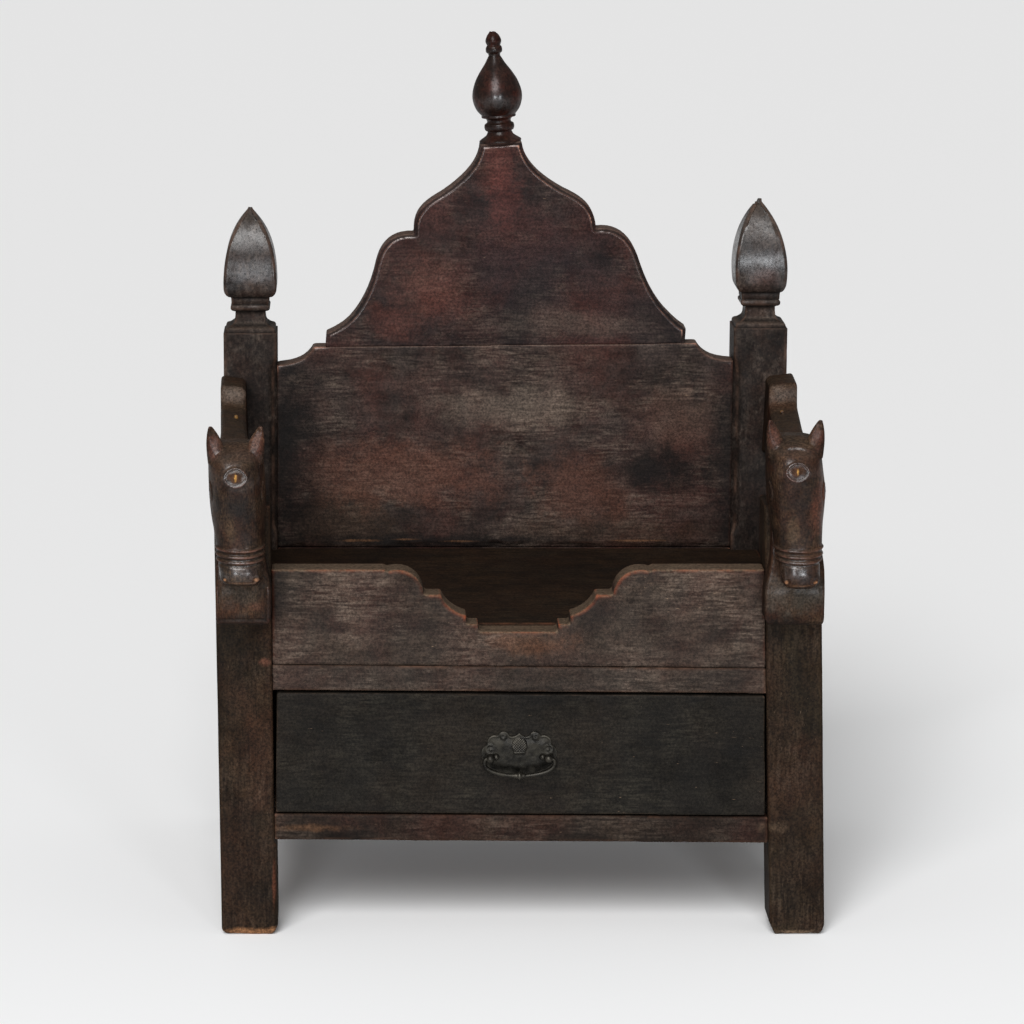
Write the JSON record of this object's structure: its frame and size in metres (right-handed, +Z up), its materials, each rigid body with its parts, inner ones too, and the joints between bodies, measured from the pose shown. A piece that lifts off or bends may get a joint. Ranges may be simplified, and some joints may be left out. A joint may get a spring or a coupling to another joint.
{
  "type": "throne",
  "caption": "Carved wooden throne with horse-headed arms, a stepped ogee back, turned and bud finials, a scalloped apron and a drawer with a bail pull.",
  "frame": {"origin": "on the floor, at the middle of the bounding box in plan", "axes": "+Z up; the sitter faces -Y; +X is to the right of a viewer who faces the throne"},
  "size_m": [0.8813, 0.754, 1.2453],
  "materials": {
    "frame_wood": "old dark stain, rubbed and dusty, with red-brown patches",
    "back_wood": "old dark stain over horizontal grain, with worn red-brown patches",
    "carved_wood": "dark brown, polished by handling",
    "seat_wood": "very dark brown, rubbed",
    "drawer_face": "ebonised black, scratched",
    "drawer_wood": "bare aged wood",
    "pull_metal": "dark patinated metal, brighter where rubbed"
  },
  "bodies": {
    "frame": {"front_leg_left": "frame_wood", "back_post_left": "carved_wood", "arm_left": "carved_wood", "side_board_left": "frame_wood", "drawer_runner_left": "drawer_wood", "front_leg_right": "frame_wood", "back_post_right": "carved_wood", "arm_right": "carved_wood", "side_board_right": "frame_wood", "drawer_runner_right": "drawer_wood", "crest_board": "back_wood", "lower_back_board": "back_wood", "rear_board": "back_wood", "crest_finial": "carved_wood", "apron": "frame_wood", "drawer_rail": "frame_wood", "bottom_rail": "frame_wood", "seat_board": "seat_wood"},
    "drawer": {"drawer_front": "drawer_face", "drawer_side_left": "drawer_wood", "drawer_side_right": "drawer_wood", "drawer_back": "drawer_wood", "drawer_bottom": "drawer_wood", "pull_plate": "pull_metal", "pull_stud_left": "pull_metal", "pull_stud_right": "pull_metal"},
    "bail": {"pull_bail": "pull_metal"}
  },
  "joints": [
    {"name": "drawer_slide", "type": "slide", "parent": "frame", "child": "drawer", "axis": [0, -1, 0], "range_m": [0, 0.4]},
    {"name": "bail_hinge", "type": "hinge", "parent": "drawer", "child": "bail", "pos_m": [0.0026, -0.2933, 0.2635], "axis": [-1, 0, 0], "range_deg": [0, 100]}
  ]
}
